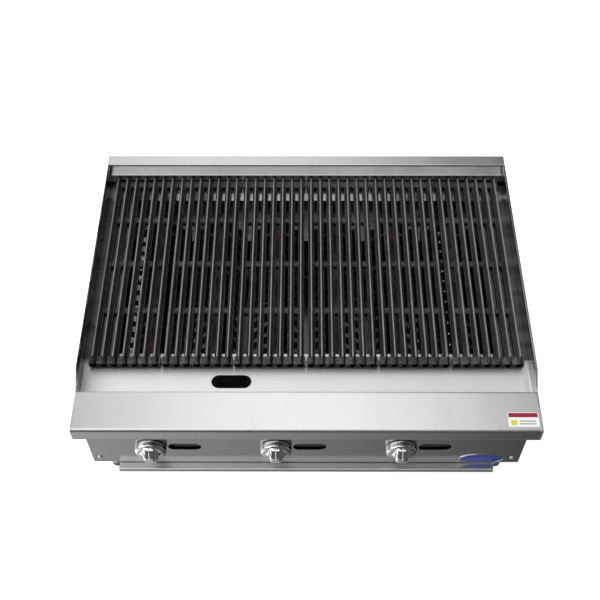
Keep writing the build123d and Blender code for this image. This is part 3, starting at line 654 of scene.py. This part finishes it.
def makeKnob(number, s, chrome, pointerPaint):
    low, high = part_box(f"knob_{number}")
    x, z = (low.x + high.x) / 2, (low.z + high.z) / 2
    place = Matrix.Translation((x, fromNose(0), z))
    bm = bmesh.new()
    spin(bm, s["skirt"], place, lambda v: Vector((v.x, v.z, v.y)), s["skirtSteps"])

    radius, side = s["gripRadius"], s["gripSide"]
    stations = [(-a, d) for a, d in side[:0:-1]] + list(side)
    end, steps = math.radians(s["gripEnd"]), s["gripSteps"]
    rings = []
    for a, drop in stations:
        r = radius - drop
        ring = []
        for i in range(steps + 1):
            angle = -end + 2 * end * i / steps
            forward = max(math.cos(angle), 0.0)
            draw = s["pinch"] * forward ** s["pinchPower"] * max(1 - drop / s["pinchFade"], 0.0)
            ring.append((x + a * (1 - draw / s["pinchFade"]), fromNose(s["gripAxis"] - r * forward),
                         z + r * math.sin(angle)))
        ring += [(x + a, fromNose(s["seat"]), z + r * s["seatShare"] * way) for way in (1, -1)]
        rings.append(ring)
    loft(bm, rings)
    finishPiece(f"knobShell{number}", bm, chrome, f"knob_body_{number}", [f"knob_{number}"], 50.0)

    bm = bmesh.new()   # the bright raised pointer line over the arch
    start, sweep = math.radians(s["pointerStart"]), math.radians(s["pointerSweep"])
    half, under, over = s["pointerHalf"], radius - s["pointerSink"], radius + s["pointerRise"]
    section = ((-half, under), (-half, over), (half, over), (half, under))
    rings = []
    for i in range(s["pointerSteps"] + 1):
        angle = start - sweep * i / s["pointerSteps"]
        rings.append([(x + dx, fromNose(s["gripAxis"] - r * math.cos(angle)), z + r * math.sin(angle))
                      for dx, r in section])
    loft(bm, rings)
    finishPiece(f"knobPointer{number}", bm, pointerPaint, f"knob_body_{number}")


platingSettings = {
    "peel": (260.0, 260.0, 260.0),
    "peelDepth": 0.00003,
    "marks": (90.0, 300.0, 90.0),
    "marksStep": (0.5, 0.85),
    "marksDim": 0.93,
}


def plated(name, level, rough, tint=(1.0, 1.0, 1.0), s=platingSettings):
    # bright plating with a slight orange peel and fine handling marks
    look = Finish(name)
    peel = look.grain(s["peel"], detail=2.0)
    marks = look.grain(s["marks"], detail=5.0, rough=0.7, twist=1.0).step(*s["marksStep"])
    shade = look.blend(marks, tone(level, tint), tone(level * s["marksDim"], tint))
    return look.surface(Base_Color=shade, Metallic=1.0, Roughness=rough + marks * 0.07 + peel * 0.02,
                        Normal=look.bump(peel, s["peelDepth"], 0.4))


paintSettings = {
    "mottle": (60.0, 60.0, 60.0),
    "mottleDepth": 0.00006,
    "spread": (0.88, 1.1),   # darkest and lightest, as shares of the colour
    "dull": (25.0, 25.0, 25.0),
    "dullStep": (0.45, 0.75),
}


def painted(name, colour, rough, coat=0.0, s=paintSettings):
    # an even coat with faint mottling and a few dulled patches
    look = Finish(name)
    mottle = look.grain(s["mottle"], detail=4.0)
    dull = look.grain(s["dull"], detail=5.0, rough=0.65).step(*s["dullStep"])
    shade = look.blend(mottle, *(tone(share, colour) for share in s["spread"]))
    return look.surface(Base_Color=shade, Roughness=rough + dull * 0.08, Coat_Weight=coat,
                        Normal=look.bump(mottle, s["mottleDepth"], 0.4))


chrome = plated("polishedChrome", 0.86, 0.05)
# painted shade: the knobs' chrome is a darker copy of the polished chrome
knobChromePaintedShade = plated("knobChromePaintedShade", 0.78, 0.06)
pointerPaint = painted("pointerWhite", (0.85, 0.85, 0.85), 0.35)
for number in range(1, 4):
    makeKnob(number, knobSettings, knobChromePaintedShade, pointerPaint)
print("knobs are turned")

badgeSettings = {
    "rim": 0.0022,
    "rimHeight": 0.0015,
    # the rim's ring, as shares of its width and height
    "rimSection": ((0, 0), (0, 0.6), (0.2, 0.92), (0.5, 1.0), (0.8, 0.92), (1, 0.6), (1, 0)),
    "tuck": 0.9,             # how much of the rim's width the field stops short of
    "fieldRise": 0.0011,
    # the field's dome, as shares of the way to the middle and of its rise
    "dome": ((0.0, 0.72), (0.02, 0.78), (0.2, 0.9), (0.45, 0.97), (0.7, 1.0)),
    "field": (0.008, 0.03, 0.22),
    "fieldSpread": (0.8, 1.35),
    "spots": (140.0, 140.0, 140.0),
    "spotDepth": 0.00004,
    "sweep": (12.0, 12.0, 30.0),
    "steps": 96,
}


def makeBadge(s, chrome):
    low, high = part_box("badge")
    x, z = (low.x + high.x) / 2, (low.z + high.z) / 2
    halfX, halfZ = (high.x - low.x) / 2, (high.z - low.z) / 2
    backY = high.y

    def oval(inset, out):
        return [(x + (halfX - inset) * math.cos(a), backY - out, z + (halfZ - inset) * math.sin(a))
                for a in (2 * math.pi * i / s["steps"] for i in range(s["steps"]))]

    bm = bmesh.new()
    rim, height = s["rim"], s["rimHeight"]
    loft(bm, [oval(rim * across, height * up) for across, up in s["rimSection"]], closed=True)
    finishPiece("badgeRim", bm, chrome, "frame", ["badge"])

    look = Finish("enamelBlue")
    spots = look.grain(s["spots"], detail=3.0)
    sweep = look.grain(s["sweep"], detail=2.0)
    dark, light = (tone(share, s["field"]) for share in s["fieldSpread"])
    shade = look.blend(sweep * 0.7 + spots * 0.3, dark, light)
    enamel = look.surface(Base_Color=shade, Roughness=0.22 + spots * 0.06, Coat_Weight=0.6,
                          Normal=look.bump(spots, s["spotDepth"], 0.3))
    bm = bmesh.new()
    inset = rim * s["tuck"]
    loft(bm, [oval(inset, 0)] + [oval(inset + (halfZ - rim) * share, s["fieldRise"] * lift)
                                 for share, lift in s["dome"]])
    finishPiece("badgeField", bm, enamel, "frame", ["badge"])


makeBadge(badgeSettings, chrome)

screwSettings = {
    "head": ((0.0052, 0.0), (0.0052, 0.0007), (0.0049, 0.0013), (0.0042, 0.0019), (0.0031, 0.0023),
             (0.0027, 0.0024)),
    "recess": 0.0012,
    "recessShare": 0.8,
    "reach": 0.0024,
    "slotHalf": 0.0005,
    "steps": 64,
}


def makeScrews(name, node, spots, outward, s, material):
    # pan heads with a cross recess sunk into the top
    def cross(angle):
        turn = angle % (math.pi / 2)
        turn = min(turn, math.pi / 2 - turn)
        return min(s["reach"] / math.cos(turn), s["slotHalf"] / max(math.sin(turn), 1e-4))

    angles = [2 * math.pi * (i + 0.5) / s["steps"] for i in range(s["steps"])]
    top = s["head"][-1][1]
    # each ring as its radius at every angle and its height above the sheet
    shape = [([radius] * len(angles), out) for radius, out in s["head"]]
    shape += [([cross(a) for a in angles], top),
              ([cross(a) * s["recessShare"] for a in angles], top - s["recess"])]
    bm = bmesh.new()
    for x, y, z in spots:
        loft(bm, [[(x + r * math.cos(a), y + outward * out, z + r * math.sin(a))
                   for a, r in zip(angles, radii)] for radii, out in shape])
    finishPiece(name, bm, material, "frame", [node], 35.0)


def nodeCentres(node, faceY):
    # the middle of each separate solid of a node, found from its loose parts
    mesh = nodes[node].data
    bm = bmesh.new()
    bm.from_mesh(mesh)
    bmesh.ops.remove_doubles(bm, verts=bm.verts, dist=1e-6)
    seen, centres = set(), []
    for vert in bm.verts:
        if vert in seen:
            continue
        group, stack = [], [vert]
        seen.add(vert)
        while stack:
            here = stack.pop()
            group.append(here.co.copy())
            for edge in here.link_edges:
                other = edge.other_vert(here)
                if other not in seen:
                    seen.add(other)
                    stack.append(other)
        centres.append(((min(p.x for p in group) + max(p.x for p in group)) / 2, faceY,
                        (min(p.z for p in group) + max(p.z for p in group)) / 2))
    bm.free()
    return sorted(centres, key=lambda c: (round(c[0], 4), round(c[2], 4)))


zincScrew = plated("screwSteel", 0.9, 0.2)
frontSpots = nodeCentres("panel_screws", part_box("control_panel")[0].y)
rearSpots = nodeCentres("rear_screws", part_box("rear_panel")[1].y)
makeScrews("panelScrewHeads", "panel_screws", frontSpots, -1, screwSettings, zincScrew)
makeScrews("rearScrewHeads", "rear_screws", rearSpots, 1, screwSettings, zincScrew)
print("badge and screws are on")

labelSettings = {
    "border": 0.0014,
    "band": 0.0095,
    "square": ((0.005, 0.017), (0.004, 0.015)),   # its extent across and up, from the near left corner
    "barsLeft": 0.022,
    "barsRight": 0.006,
    "barRows": ((0.0055, 0.008), (0.0115, 0.014)),
    "ink": (400.0, 400.0, 400.0),
    "inkDepth": 0.00003,
    "red": (0.27, 0.008, 0.03),
    "paper": (0.86, 0.86, 0.85),
    "yellow": (0.72, 0.62, 0.05),
    "grey": (0.2, 0.2, 0.21),
}


def labelPrint(s):
    # plain blocks of colour: a red band, a white field, a yellow block and grey bars
    low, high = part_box("warning_plate")
    look = Finish("labelBlocks")
    x, y, z = look.parts(look.spot())
    ink = look.grain(s["ink"], detail=3.0)
    b = s["border"]
    field = x.within(low.x + b, high.x - b) * y.within(low.y + b, high.y - b)
    band = field * (y > high.y - b - s["band"])
    across, up = s["square"]
    square = x.within(*(low.x + d for d in across)) * y.within(*(low.y + d for d in up))
    lower, upper = (y.within(*(low.y + d for d in row)) for row in s["barRows"])
    bars = x.within(low.x + s["barsLeft"], high.x - s["barsRight"]) * (lower + upper)
    shade = look.blend(ink, tone(0.96, s["paper"]), tone(1.03, s["paper"]))
    shade = look.blend(square, shade, tone(1.0, s["yellow"]))
    shade = look.blend(bars * (0.5 + ink * 0.7), shade, tone(1.0, s["grey"]))
    shade = look.blend(band, shade, look.blend(ink, tone(0.85, s["red"]), tone(1.2, s["red"])))
    return look.surface(Base_Color=shade, Roughness=0.32 + ink * 0.08,
                        Normal=look.bump(ink, s["inkDepth"], 0.3))


heatSettings = {
    "rough": 0.33,
    "drift": (9.0, 5.0, 20.0),
    "soot": (30.0, 30.0, 30.0),
    "sootStep": (0.35, 0.7),
    "sootTone": 0.018,
    "lines": (900.0, 5.0, 900.0),
    "cut": 0.00004,
    "edge": 0.0008,
    "bands": ((0.25, (0.30, 0.25, 0.18, 1)), (0.45, (0.16, 0.11, 0.075, 1)),
              (0.6, (0.09, 0.085, 0.11, 1)), (0.8, (0.2, 0.19, 0.18, 1))),
}


def heatTinted(name, s):
    # stainless sheet coloured by the flame: straw to brown to blue in soft bands, with soot
    look = Finish(name)
    drift = look.grain(s["drift"], detail=3.0, twist=0.5)
    soot = look.grain(s["soot"], detail=6.0, rough=0.65).step(*s["sootStep"])
    lines = look.grain(s["lines"], detail=3.0)
    shade = look.blend(soot * 0.75, look.ramp(drift, *s["bands"]), tone(s["sootTone"]))
    return look.surface(Base_Color=shade, Metallic=1.0 - soot * 0.4,
                        Roughness=s["rough"] + soot * 0.25 + lines * 0.05,
                        Normal=look.bump(lines, s["cut"], 0.6, look.softEdge(s["edge"])))


steelSettings = {
    "shelf": {"tone": 0.63, "rough": 0.22, "cut": 0.00006, "edge": 0.005},
    "stainless": {"tone": 0.63, "rough": 0.22, "cut": 0.00006, "edge": 0.0012},
    # painted shade: the control panel is the same stainless as the shelf, given a darker tone
    "panel": {"tone": 0.52, "rough": 0.22, "cut": 0.00006, "edge": 0.0012},
    # painted light: the trough is the same stainless given a much brighter tone
    "trough": {"tone": 0.93, "rough": 0.5, "cut": 0.00005, "edge": 0.001},
    # the side panels' inner faces get painted shade, far darker on the left than on the right
    "sides": {"tone": 0.60, "rough": 0.16, "cut": 0.00004, "edge": 0.0014, "inner": 0.4562,
              "smokedFrom": (-0.30, -0.24), "smokedAbove": 0.3, "smokedLeft": 1.0, "smokedRight": 0.45},
    # painted light: the tray and its hem are the same stainless given a brighter tone
    "tray": {"tone": 0.74, "rough": 0.36, "cut": 0.00004, "edge": 0.0009},
    "firebox": {"tone": 0.17, "rough": 0.34, "sootAndShade": 0.75, "streak": 0.12, "edge": 0.001},
    # painted light and shade: the rear wall is a brighter copy of the firebox steel, darkened towards its
    # sides
    "rearWall": {"tone": 0.42, "rough": 0.26, "sootAndShade": 0.25, "streak": 0.1, "edge": 0.0014,
                 "sideShadeFrom": (0.12, 0.34), "sideShadeGain": 1.3},
    "frontWall": {"tone": 0.62, "rough": 0.36, "sootAndShade": 0.1, "streak": 0.08, "edge": 0.001},
    # painted light: the rear radiant rail gets a bright tone of its own
    "rail": {"tone": 0.8, "rough": 0.4, "sootAndShade": 0.15, "streak": 0.1, "edge": 0.0014},
    "plate": {"tone": 0.55, "rough": 0.3, "streak": 0.08, "tint": (0.97, 1.0, 1.02), "edge": 0.0006},
    "leg": {"tone": 0.62, "rough": 0.2, "cut": 0.00003, "edge": 0.0008},
}
burnerSettings = {"tone": 0.05, "rough": 0.6, "metal": 0.5, "tint": (1.0, 0.93, 0.86)}
steel = steelSettings
stainless = brushedSteel("brushedStainless", steel["stainless"])
sideSteel = brushedSteel("sideSteelPaintedInnerShade", steel["sides"], "Y")
fireboxSteel = brushedSteel("sootedFireboxSteel", steel["firebox"])
traySteel = brushedSteel("traySteelPaintedLight", steel["tray"])
nodeFinish = {
    "front_shelf": brushedSteel("brushedShelfSteel", steel["shelf"]),
    "left_side_panel": sideSteel,
    "right_side_panel": sideSteel,
    "control_panel": brushedSteel("panelSteelPaintedShade", steel["panel"]),
    "grease_trough": brushedSteel("troughSteelPaintedLight", steel["trough"]),
    "drip_tray": traySteel,
    "firebox_front_wall": brushedSteel("dulledFrontWallSteel", steel["frontWall"]),
    "firebox_rear_wall": brushedSteel("rearWallSteelPaintedLightAndShade", steel["rearWall"]),
    "radiant_rail_rear": brushedSteel("railSteelPaintedLight", steel["rail"]),
}
slotFinish = {
    "stainless": stainless,
    "aluminised_steel": fireboxSteel,
    "radiant_steel": heatTinted("heatTintedRadiant", heatSettings),
    "cast_burner": castIron("rustedBurnerIron", burnerSettings),
    "plated_steel": brushedSteel("zincPlate", steel["plate"]),
    "brass": plated("machinedBrass", 0.8, 0.2, (0.95, 0.68, 0.3)),
    "tube_aluminium": plated("drawnTube", 0.8, 0.25),
    "black_pipe": painted("blackLacquer", (0.028, 0.028, 0.03), 0.3, 0.3),
    "chrome": chrome,
    "leg_steel": brushedSteel("satinLegNickel", steel["leg"], "Z"),
    "foot_black": painted("mouldedBlack", (0.025, 0.025, 0.027), 0.5),
    "grate_iron": grateIron,
    "badge_blue": chrome,
    "label_print": labelPrint(labelSettings),
}
for part in frame["record"]["subparts"]:
    node = nodes[part["node"]]
    node.data.materials.clear()
    node.data.materials.append(nodeFinish.get(part["node"], slotFinish[part["material_slot"]]))
print("finishes are on")

hemSettings = {
    "reach": 0.0035,         # how far the roll stands out from the finger lip
    "round": 0.005,
    "turnSteps": 10,
    "lap": 0.010,
    "lapShare": 0.9,
    "crown": 0.3,
    "drop": 0.0088,
    "rise": 0.0005,
    "wall": 0.0008,
    "outerToe": 0.0004,
    "innerToe": 0.0003,
    "innerTop": 0.0006,
    "endInset": 0.0006,
    "steps": 24,
}


def makeTrayHem(s, material):
    # the rolled front edge of the drip tray's finger lip
    low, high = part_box("drip_tray")
    top, front, r = high.z + s["rise"], low.y, s["round"]
    axisY, axisZ = front - s["reach"] + r, top - r
    toe, under, behind = top - s["drop"], top - s["rise"] - s["wall"], front + s["innerToe"]
    section = [(front + s["lap"], top - s["rise"] * s["lapShare"]), (axisY + r * s["crown"], top)]
    for i in range(s["turnSteps"] + 1):
        a = math.radians(90 * i / s["turnSteps"])
        section.append((axisY - r * math.sin(a), axisZ + r * math.cos(a)))
    section += [(front - s["reach"] + s["outerToe"], toe), (behind, toe), (behind, toe + s["wall"]),
                (front + s["innerTop"], under), (front + s["lap"], under)]
    left, right = low.x + s["endInset"], high.x - s["endInset"]
    xs = [left + (right - left) * i / s["steps"] for i in range(s["steps"] + 1)]
    bm = bmesh.new()
    loft(bm, [[(x, y, z) for y, z in section] for x in xs])
    finishPiece("trayHem", bm, material, "tray_body")


makeTrayHem(hemSettings, traySteel)

flapSettings = {
    "rows": (
        {"node": "radiant_1", "inset": 0.0098, "height": 0.0125, "half": 0.0045, "length": 0.012},
        {"node": "radiant_6", "inset": 0.038, "height": 0.040, "half": 0.0016, "length": 0.004},
    ),
    "pitch": 0.028,
    "count": 13,
    "tilt": 0.3,
    "crown": 0.0004,
    "sheet": 0.0005,
    "steps": 4,
}


def makeVentFlaps(row, s, material):
    # white tongues under the vents that stand in for the light seen through them: painted light
    node, half, length = row["node"], row["half"], row["length"]
    low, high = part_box(node)
    x, middle = low.x + row["inset"], (low.y + high.y) / 2
    sheet = s["sheet"]
    bm = bmesh.new()
    for number in range(s["count"]):
        y = middle + s["pitch"] * (number - (s["count"] - 1) / 2)
        rings = []
        for k in range(s["steps"] + 1):
            share = k / s["steps"]
            along = y + (share - 0.5) * length
            z = low.z + row["height"] + s["tilt"] * length * share * share
            rings.append([(x - half, along, z), (x, along, z + s["crown"]), (x + half, along, z),
                          (x + half, along, z - sheet), (x - half, along, z - sheet)])
        loft(bm, rings)
    finishPiece(f"ventLightTabs{node[-1]}", bm, material, "frame")


# painted light: a near-white coat on the tabs placed where light shows through the vents
ventLightPaint = painted("paintedVentLight", (0.9, 0.9, 0.88), 0.3, 0.5)
for row in flapSettings["rows"]:
    makeVentFlaps(row, flapSettings, ventLightPaint)
print("hem and flaps are on")
